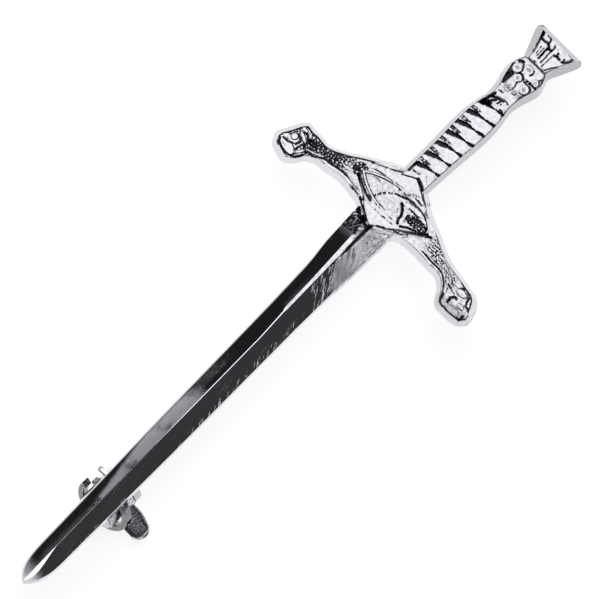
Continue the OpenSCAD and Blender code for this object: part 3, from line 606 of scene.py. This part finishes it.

# The end of the crown is a sloping wall. The walls and that end get painted shade, a mottled grey tone in the
# colour, and the neck is toned grey
PAINTED_END_SHADE = 0.5
PAINTED_WALL_SHADE = 0.49
NECK_TONE = 0.42
end_w = hilt_crest * np.clip((1 - s) / END_SLOPE, 0, 1)
height = np.minimum(height, end_w * np.clip(climb * 1.2, 0, 1) + 0.02)
height = np.where(climb <= 0, 0.0, np.maximum(height, 0.03 * climb))
neck = ease(u, 94.3, 94.5) * (1 - ease(u, 95.0, 95.3))
top_tone = np.maximum(np.clip(dark, 0, 1), NECK_TONE * neck) * on_top
# Painted shade: the end slope and the walls beside the top take a grey tone in the colour
hilt_patina_and_shade = np.where(end_w >= hilt_crest * 0.97, top_tone, PAINTED_END_SHADE)
hilt_patina_and_shade = np.maximum(hilt_patina_and_shade, PAINTED_WALL_SHADE * (1 - on_top))
hilt = shell("hilt", placed(u, v, height), hilt_patina_and_shade)


# Catch and hinge hardware. Stamped and turned brass pieces soldered to the flat back: two ears on a foot
# for the stem's pivot, and the catch's foot with its finger, post, slotted tube and open keeper ring.
CATCH_U = 16.8
LEVER_W = 3.2
SLEEVE_L = 4.4
SLEEVE_D = 5.3
TUBE_D = 3.9
TUBE_BORE = 2.7
RUN_GAP = 0.05
MOUTH_W = 1.9
MOUTH = math.radians(30)
RING_LEAN = math.radians(15)
RING_D = 7.9
RING_BORE = 6.15
RING_HALF_L = 0.55
COLLAR_L = 1.2
LIP_L = 0.3
EDGE = 0.1
HINGE_U = 71.0
EAR_IN = 2.2
EAR_OUT = 3.5
EAR_BORE = 1.6
SOLDER_TONE = 0.48
KEEPER_TONE = 0.56
sleeve_u1 = CATCH_U + LEVER_W / 2
sleeve_u0 = sleeve_u1 - SLEEVE_L
ring_u = CATCH_U - LEVER_W * 0.37
tube_u0 = sleeve_u0 - RUN_GAP - LIP_L
tube_u1 = sleeve_u1 + RUN_GAP + COLLAR_L


def open_ring(name, stations, outer, bore, lean=0.0, at_u=0.0, tone=SOLDER_TONE):
    """Slotted ring about the stem: an arc out and an arc back, swept along, with a bevel at both ends."""
    outer, bore = np.asarray(outer)[:, None] / 2, np.asarray(bore)[:, None] / 2
    around = np.linspace(0, 1, 49)[None, :]
    out_gap, in_gap = np.arcsin(MOUTH_W / 2 / outer), np.arcsin(MOUTH_W / 2 / bore)
    out_angle = MOUTH + out_gap + around * (2 * math.pi - 2 * out_gap)
    in_angle = (MOUTH + in_gap + around * (2 * math.pi - 2 * in_gap))[:, ::-1]
    side = np.concatenate([outer * np.cos(out_angle), bore * np.cos(in_angle)], axis=1)
    rise = np.concatenate([outer * np.sin(out_angle), bore * np.sin(in_angle)], axis=1)
    along = np.asarray(stations)[:, None]
    u = at_u + along * math.cos(lean) + rise * math.sin(lean)
    w = -STEM_DROP + rise * math.cos(lean) - along * math.sin(lean)
    return shell(name, placed(u, side, w), tone)


def block(name, u0, u1, v0, v1, w0, w1, bevel=0.12, tone=SOLDER_TONE):
    """Box with its ends drawn in by a bevel: four loops of a rounded rectangle along u."""
    corners = [(v0 + bevel, w0), (v1 - bevel, w0), (v1, w0 + bevel), (v1, w1 - bevel),
               (v1 - bevel, w1), (v0 + bevel, w1), (v0, w1 - bevel), (v0, w0 + bevel)]
    v, w = (np.array([c[k] for c in corners])[None, :] for k in (0, 1))
    middle_v, middle_w = (v0 + v1) / 2, (w0 + w1) / 2
    u = np.array([u0, u0 + bevel, u1 - bevel, u1])[:, None]
    at_end = np.array([[1], [0], [0], [1]])
    v = middle_v + (v - middle_v) * (1 - 2 * bevel / (v1 - v0) * at_end)
    w = middle_w + (w - middle_w) * (1 - 2 * bevel / (w1 - w0) * at_end)
    return shell(name, placed(u, v, w), tone)


tube = open_ring("tube", [tube_u0, tube_u0 + EDGE, tube_u1 - EDGE, tube_u1],
                 [TUBE_D - 2 * EDGE, TUBE_D, TUBE_D, TUBE_D - 2 * EDGE], [TUBE_BORE] * 4)
lip = open_ring("lip", [tube_u0, tube_u0 + EDGE, tube_u0 + LIP_L],
                [SLEEVE_D - 0.5 - 2 * EDGE, SLEEVE_D - 0.5, SLEEVE_D - 0.5], [TUBE_BORE] * 3)
collar_ring = open_ring("collar", [tube_u1 - COLLAR_L, tube_u1 - EDGE, tube_u1],
                        [SLEEVE_D, SLEEVE_D, SLEEVE_D - 2 * EDGE], [TUBE_BORE] * 3)
keeper = open_ring("keeper", [-RING_HALF_L, -RING_HALF_L + EDGE, RING_HALF_L - EDGE, RING_HALF_L],
                   [RING_D - 2 * EDGE, RING_D, RING_D, RING_D - 2 * EDGE],
                   [RING_BORE + EDGE, RING_BORE, RING_BORE, RING_BORE + EDGE], RING_LEAN, ring_u, KEEPER_TONE)
post_w = -STEM_DROP + TUBE_BORE / 2 + 0.2
post = block("post", tube_u1 - COLLAR_L, tube_u1, -TUBE_D / 3, TUBE_D / 3, post_w, 0.6)
foot_u = sleeve_u1 - 0.98
foot_drop = STEM_DROP - SLEEVE_D / 2 - 0.15
foot = block("foot", foot_u, tube_u1, -TUBE_D / 3, TUBE_D / 3, -foot_drop, 0.48)
finger = block("finger", foot_u, foot_u + 0.7, 0, 3.35, -foot_drop, -0.01, 0.15, KEEPER_TONE)
hinge_foot = block("hinge foot", HINGE_U - 2.21, HINGE_U + 1.3, -EAR_OUT, EAR_OUT, -0.6, 0.5)
stand_h = (back_z - sword_lo[2]) / MM


def ear(name, v0, v1):
    """Ear of the hinge: a rectangle with its lower corners cut, carried across with two bevelled faces."""
    outline_u = np.array([-1.7, 1.7, 1.7, 1.25, -1.25, -1.7])
    outline_w = np.array([0.0, 0.0, -stand_h + 0.45, -stand_h, -stand_h, -stand_h + 0.45])
    v = np.array([[v0], [v0 + EDGE], [v1 - EDGE], [v1]])
    draw = np.array([[0.96], [1], [1], [0.96]])
    return shell(name, placed(HINGE_U + outline_u * draw, v, outline_w))


ears = [ear("ear a", -EAR_OUT, -EAR_IN), ear("ear b", EAR_IN, EAR_OUT)]
angle = np.linspace(0, 2 * math.pi, 49)[None, :-1]
drill = shell("drill", placed(HINGE_U + EAR_BORE / 2 * np.cos(angle), np.array([[-4.5], [4.5]]),
                              -STEM_DROP + EAR_BORE / 2 * np.sin(angle)))


def melted(base, add, cut=()):
    """One solid: joins the added shells to the base and takes the cut ones out, with exact edges."""
    for operation, others in (("UNION", add), ("DIFFERENCE", cut)):
        for other in others:
            step = base.modifiers.new(other.name, "BOOLEAN")
            step.operation = operation
            step.object = other
            step.solver = "MANIFOLD"
    seen = bpy.context.evaluated_depsgraph_get()
    mesh = bpy.data.meshes.new_from_object(base.evaluated_get(seen))
    base.modifiers.clear()
    base.data = mesh
    for other in (*add, *cut):
        bpy.data.objects.remove(other)
    mesh.shade_smooth()
    mesh.set_sharp_from_angle(angle=math.radians(38))
    return base


casting = melted(blade, [guard, hilt, *ears, hinge_foot, foot, finger, post, collar_ring, lip, tube, keeper],
                 [drill])
casting.name = "casting"
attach(casting, "brooch")
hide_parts("sword")


class Value:
    """A shader socket that takes part in sums: each operator adds the Math node that it stands for."""

    def __init__(self, paint, socket):
        self.paint = paint
        self.socket = socket

    def maths(self, operation, *others):
        """Adds one Math node on this value and the others."""
        inputs = {0: self, **dict(enumerate(others, 1))}
        return self.paint.add("ShaderNodeMath", {"operation": operation}, inputs)

    def sibling(self, output):
        """Another output of the node that gave this value."""
        return Value(self.paint, self.socket.node.outputs[output])

    def __add__(self, other):
        return self.maths("ADD", other)

    def __mul__(self, other):
        return self.maths("MULTIPLY", other)

    def __sub__(self, other):
        return self.maths("SUBTRACT", other)

    def __rsub__(self, other):
        return self.paint.add("ShaderNodeMath", {"operation": "SUBTRACT"}, {0: other, 1: self})

    __radd__ = __add__
    __rmul__ = __mul__


class Paint:
    """Nodes of a material or of the world: each comes from add(), with its settings and its inputs."""

    def __init__(self, holder):
        holder.use_nodes = True
        self.holder = holder
        self.tree = holder.node_tree
        self.tree.nodes.clear()

    def add(self, kind, settings=None, inputs=None, output=0):
        """Adds a node, sets its settings, then fills its sockets with values or links."""
        node = self.tree.nodes.new(kind)
        for key, value in (settings or {}).items():
            setattr(node, key, value)
        for key, value in (inputs or {}).items():
            if isinstance(value, Value):
                self.tree.links.new(value.socket, node.inputs[key])
            else:
                node.inputs[key].default_value = value
        return Value(self, node.outputs[output]) if len(node.outputs) else None

    def mix(self, share, first, second):
        """Mixes two colours by a share."""
        return self.add("ShaderNodeMix", {"data_type": "RGBA"}, {0: share, 6: first, 7: second}, 2)

    def ramp(self, value, start, end, low=0.0, high=1.0):
        """Maps a value from start..end to low..high with a smooth step."""
        return self.add("ShaderNodeMapRange", {"interpolation_type": "SMOOTHSTEP"},
                        {0: value, 1: start, 2: end, 3: low, 4: high})

    def finish(self, **sockets):
        """Ends the material with one shader whose sockets are given by name."""
        named = {key.replace("_", " "): value for key, value in sockets.items()}
        shader = self.add("ShaderNodeBsdfPrincipled", None, named)
        self.add("ShaderNodeOutputMaterial", None, {"Surface": shader})
        return self.holder


# Finish of the casting: bright plate with fine slanting scratches on the ground blade, a smoky patch
# beside the ridge, a duller skin on the cast relief, and black patina in its recesses. The colour also
# holds painted shade: on the relief's upward faces, on the ridge's flat, and on the hilt's walls and end
# and beside its ribs
plate = Paint(bpy.data.materials.new("bright plate on the casting"))
spot = plate.add("ShaderNodeTexCoord", output=3)
patina_and_shade = plate.add("ShaderNodeAttribute", {"attribute_name": "patina_and_shade"}, output=2)
along_blade = plate.add("ShaderNodeSeparateXYZ", None, {0: spot})
across_blade = along_blade.sibling(1)
normal = plate.add("ShaderNodeNewGeometry", output=1)
upright = plate.add("ShaderNodeSeparateXYZ", None, {0: normal}, 2)
level = plate.ramp(upright, 0.55, 0.9)
flat_turn = {"rotation_type": "Z_AXIS"}
turned = plate.add("ShaderNodeVectorRotate", flat_turn, {0: spot, "Angle": math.radians(-31)})
stretched = plate.add("ShaderNodeMapping", None, {0: turned, 3: (320, 4600, 0)})
scratch = plate.add("ShaderNodeTexNoise", None, {0: stretched, "Scale": 1.0, "Detail": 2.0, "Roughness": 0.6})
shallow = plate.add("ShaderNodeVectorRotate", flat_turn, {0: spot, "Angle": math.radians(-12)})
long_lines = plate.add("ShaderNodeMapping", None, {0: shallow, 3: (110, 5200, 0)})
hairline = plate.add("ShaderNodeTexNoise", None, {0: long_lines, "Scale": 1.0, "Detail": 2.0})
soft = plate.add("ShaderNodeTexNoise", None, {0: spot, "Scale": 260.0, "Detail": 4.0})
patch = plate.add("ShaderNodeTexNoise", None, {0: spot, "Scale": 2300.0, "Detail": 3.0})
grain = plate.add("ShaderNodeTexNoise", None, {0: spot, "Scale": 6800.0, "Detail": 2.0})
cast_zone = plate.ramp(along_blade - 0.35 * across_blade, 0.0098, 0.0125)
haze_width = 0.0003 + 0.0018 * plate.ramp(along_blade, -0.0415, -0.023)
haze_across = plate.ramp(across_blade, 0.0, 0.00012)
haze_across = haze_across * plate.ramp(across_blade - haze_width, 0.0003, -0.0005)
haze_end = along_blade + 0.9 * across_blade + 0.004 * soft
haze_along = plate.ramp(along_blade, -0.042, -0.036) * plate.ramp(haze_end, -0.0125, -0.0155)
smoke = 0.36 * plate.ramp(along_blade, -0.019, -0.016) * plate.ramp(along_blade, -0.008, -0.013)
haze_along = haze_along + smoke * plate.ramp(across_blade, 0.0003, 0.001)
haze = haze_across * haze_along * plate.ramp(soft, 0.25, 0.55)
blade_only = 1 - cast_zone
lower = plate.ramp(across_blade, 0.0000, -0.0003)
brushed = lower * blade_only * plate.ramp(along_blade, 0.0022, 0.0040)
ticks = lower * blade_only * plate.ramp(across_blade, -0.0012, -0.0024) * plate.ramp(soft, 0.45, 0.6)
crowded = lower * blade_only * plate.ramp(along_blade - 1.19 * across_blade + 0.0012 * soft, 0.0070, 0.0092)
strokes = brushed * plate.ramp(scratch - 0.03 * crowded, 0.46, 0.38)
strokes = strokes + 0.6 * ticks * plate.ramp(scratch, 0.44, 0.36)
hairs = blade_only * (0.25 + 0.75 * lower) * plate.ramp(hairline, 0.60, 0.68)
dust = blade_only * plate.ramp(patch, 0.5, 0.7)
tip_grey = plate.ramp(along_blade - 0.3 * across_blade, -0.0465, -0.0492) * plate.ramp(upright, 0.985, 0.97)
cast_face = cast_zone * plate.ramp(along_blade, 0.0148, 0.0140)
dark = plate.ramp(patina_and_shade + (0.14 + 0.28 * level) * (grain - 0.5) * plate.ramp(patina_and_shade, 0.05, 0.3), 0.38, 0.66)
tinted = (0.55 + 0.45 * plate.ramp(patina_and_shade, 0.02, 0.2)) * (0.1 + 0.9 * level)
mottle = cast_zone * tinted * plate.ramp(0.4 * grain + 0.6 * patch, 0.40, 0.58)
# The ridge's flat, found where it faces straight up, is painted grey as painted shade over its bright
# reflection. Grey scratch marks where they crowd on the -v face are added to it as wear.
flat_shade_and_scratches = blade_only * plate.ramp(upright, 0.965, 0.99) * plate.ramp(along_blade, -0.0015, -0.0008)
flat_shade_and_scratches = flat_shade_and_scratches * (0.65 + 0.35 * plate.ramp(patch, 0.4, 0.6)) + 0.75 * crowded * plate.ramp(scratch, 0.47, 0.60)
# Upward faces of the cast relief are painted darker than its walls: a duller skin plus painted shade over the
# overhead light's reflection. The grey mottle above is a random grain, laid mostly on those upward faces.
dull_skin_and_shade = plate.mix(cast_zone * level, (0.73, 0.735, 0.755, 1), (0.52, 0.52, 0.535, 1))
bare = plate.mix(mottle, dull_skin_and_shade, (0.32, 0.32, 0.33, 1))
clean = plate.mix(flat_shade_and_scratches, bare, (0.40, 0.40, 0.41, 1))
plate_colour = plate.mix(dark, clean, (0.018, 0.018, 0.021, 1))
rough = 0.06 + 0.10 * cast_zone + 0.40 * haze + 0.5 * strokes + 0.2 * hairs + 0.07 * dust + 0.45 * tip_grey
rough = rough + 0.31 * crowded + 0.26 * cast_face
depth = 0.22 * strokes + cast_zone * (0.14 * grain + 0.22 * patch)
bump = plate.add("ShaderNodeBump", None, {"Strength": 1.0, "Distance": 0.0001, "Height": depth})
bright_plate = plate.finish(Base_Color=plate_colour, Metallic=1.0, Roughness=rough, Normal=bump)
casting.data.materials.clear()
casting.data.materials.append(bright_plate)


# Pin stem. Drawn steel wire with a ground point, its end turned into a knuckle on the pivot between the
# ears. It is the source's own solid, with the finish of bright drawn wire.
wire = Paint(bpy.data.materials.new("bright drawn wire"))
spot = wire.add("ShaderNodeTexCoord", output=3)
drawn = wire.add("ShaderNodeMapping", None, {0: spot, 3: (40, 3000, 3000)})
lines = wire.add("ShaderNodeTexNoise", None, {0: drawn, "Scale": 1.0, "Detail": 2.0})
steel = wire.finish(Base_Color=(0.76, 0.77, 0.79, 1), Metallic=1.0, Roughness=0.14 + 0.12 * lines)
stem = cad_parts["pin_stem"]
for slot in stem.material_slots:
    slot.material = steel


# Catch sleeve. A turned brass sleeve, slotted for the stem, that rolls on the soldered tube. Its tongue is
# flattened and bent a little away from the blade, with a rounded end and a bevel all round.
TONGUE_REACH = 6.7
TONGUE_TILT = math.radians(18)
TONGUE_T = 0.8
TONGUE_END = 1.6
RING_OUT = RING_D / 2 + 0.1
sleeve = open_ring("sleeve", [sleeve_u0, sleeve_u0 + EDGE, sleeve_u1 - EDGE, sleeve_u1],
                   [SLEEVE_D - 2 * EDGE, SLEEVE_D, SLEEVE_D, SLEEVE_D - 2 * EDGE],
                   [TUBE_D + 2 * RUN_GAP] * 4)
root_reach = [TUBE_D / 2 + 0.25, 2.6, 3.3, RING_OUT - 0.3, RING_OUT, RING_OUT + 0.25, RING_OUT + 0.6]
end_reach = TONGUE_REACH - TONGUE_END * (1 - np.sin(np.linspace(0.2, math.pi / 2, 14)))
reach = np.concatenate([root_reach, end_reach])[:, None]
root_u = ring_u + RING_HALF_L + 0.22
left = np.clip((reach - (TONGUE_REACH - TONGUE_END)) / TONGUE_END, 0, 1)
rounded = LEVER_W / 2 * (0.06 + 0.94 * np.sqrt(1 - left**2))
half_low = np.where(reach < RING_OUT, CATCH_U - root_u, rounded)
half_high = rounded * (1 - 0.2 * ease(reach, RING_OUT, TONGUE_REACH - 1))
# columns: place across the tongue in half widths, place in its thickness
profile = [(-1, -0.2), (-0.97, -0.42), (-0.9, -0.5), (0.9, -0.5), (0.97, -0.42), (1, -0.2), (1, 0.1),
           (0.92, 0.26), (0.76, 0.42), (0.68, 0.46), (0.35, 0.5), (0, 0.51), (-0.35, 0.5), (-0.68, 0.46),
           (-0.76, 0.42), (-0.92, 0.26), (-1, 0.1)]
side, thick = (np.array([[point[c] for point in profile]]) for c in (0, 1))
thick = thick * TONGUE_T
tongue_u = CATCH_U + side * np.where(side < 0, half_low, half_high)
end_thin = np.clip((TONGUE_REACH - reach) / 0.5, 0.3, 1)
thick = np.where(thick > 0, thick * end_thin, thick)
tongue = shell("tongue", placed(tongue_u, -reach * math.cos(TONGUE_TILT),
                                -STEM_DROP - reach * math.sin(TONGUE_TILT) + thick))
sleeve = melted(sleeve, [tongue])
sleeve.name = "catch_sleeve"
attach(sleeve, "catch")
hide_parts("catch_roller")
sheet = Paint(bpy.data.materials.new("bright plate on the catch"))
spot = sheet.add("ShaderNodeTexCoord", output=3)
worn = sheet.add("ShaderNodeTexNoise", None, {0: spot, "Scale": 900.0, "Detail": 3.0})
fleck = sheet.add("ShaderNodeTexNoise", None, {0: spot, "Scale": 4200.0, "Detail": 3.0})
sheet_colour = sheet.mix(sheet.ramp(fleck, 0.42, 0.6), (0.34, 0.34, 0.36, 1), (0.66, 0.665, 0.685, 1))
sheet_bump = sheet.add("ShaderNodeBump", None, {"Strength": 1.0, "Distance": 0.0001, "Height": 0.3 * fleck})
plated = sheet.finish(Base_Color=sheet_colour, Metallic=1.0, Roughness=0.14 + 0.2 * worn, Normal=sheet_bump)
sleeve.data.materials.clear()
sleeve.data.materials.append(plated)


# Floor, light and camera. A white sweep under a soft round overhead light in a dark room, seen from a
# little on the point's side and on the -v side, turned so that the sword lies along the diagonal.
FLOOR_HALF = 6.0
floor_mesh = bpy.data.meshes.new("floor")
signs = ((-1, -1), (1, -1), (1, 1), (-1, 1))
floor_mesh.from_pydata([(x * FLOOR_HALF, y * FLOOR_HALF, 0) for x, y in signs], [], [(0, 1, 2, 3)])
floor = bpy.data.objects.new("floor", floor_mesh)
bpy.context.scene.collection.objects.link(floor)
card = Paint(bpy.data.materials.new("white card"))
white_card = card.finish(Base_Color=(0.35, 0.35, 0.35, 1), Roughness=1.0, Emission_Color=(1, 1, 1, 1),
                         Emission_Strength=0.84, Specular_IOR_Level=0.0)
floor_mesh.materials.append(white_card)

world = bpy.data.worlds.new("studio")
bpy.context.scene.world = world
sky = Paint(world)
toward = sky.add("ShaderNodeTexCoord", output=0)
PANEL = Vector((0.2, 0.2, 0.96)).normalized()
facing = sky.add("ShaderNodeVectorMath", {"operation": "DOT_PRODUCT"}, {0: toward, 1: PANEL}, 1)
panel = sky.ramp(facing, math.cos(math.radians(34)), math.cos(math.radians(25)))
height_z = sky.add("ShaderNodeSeparateXYZ", None, {0: toward}, 2)
low = sky.ramp(height_z, 0.10, -0.02)
fill = 0.015 + 0.03 * sky.ramp(height_z.sibling(1), 0.2, -0.6)
power = fill + 1.9 * panel + 0.85 * low + 0.22 * sky.ramp(height_z, 0.40, 0.10)
background = sky.add("ShaderNodeBackground", None, {0: (0.96, 0.96, 1.0, 1), 1: power})
sky.add("ShaderNodeOutputWorld", None, {0: background})

light = bpy.data.lights.new("overhead", "AREA")
light.shape = "DISK"
light.size = 1.6
light.energy = 1.2
lamp = bpy.data.objects.new("overhead", light)
lamp.location = (0.1, 0.1, 1.5)
lamp.visible_glossy = False
bpy.context.scene.collection.objects.link(lamp)

VIEW_X = math.tan(math.radians(16.293))
VIEW_Y = math.tan(math.radians(7.0))
VIEW_ROLL = math.radians(-47.622)
PIXELS_PER_MM = 7.9405
DISTANCE = 1.6
IMAGE_W = 600
SENSOR = 36.0
view = Vector((-VIEW_X, -VIEW_Y, 1)).normalized()
level_right = Vector((0, 1, 0)).cross(view).normalized()
level_up = view.cross(level_right)
right = math.cos(VIEW_ROLL) * level_right + math.sin(VIEW_ROLL) * level_up
up_way = -math.sin(VIEW_ROLL) * level_right + math.cos(VIEW_ROLL) * level_up
target = Vector((1.363 * MM, -0.074 * MM, 8.0 * MM))
lens = bpy.data.cameras.new("view")
lens.sensor_width = SENSOR
lens.lens = PIXELS_PER_MM / MM * DISTANCE / IMAGE_W * SENSOR
camera = bpy.data.objects.new("view", lens)
bpy.context.scene.collection.objects.link(camera)
camera.matrix_world = Matrix((right, up_way, view)).transposed().to_4x4()
camera.location = target + view * DISTANCE
bpy.context.scene.camera = camera
bpy.context.scene.view_settings.view_transform = "Standard"
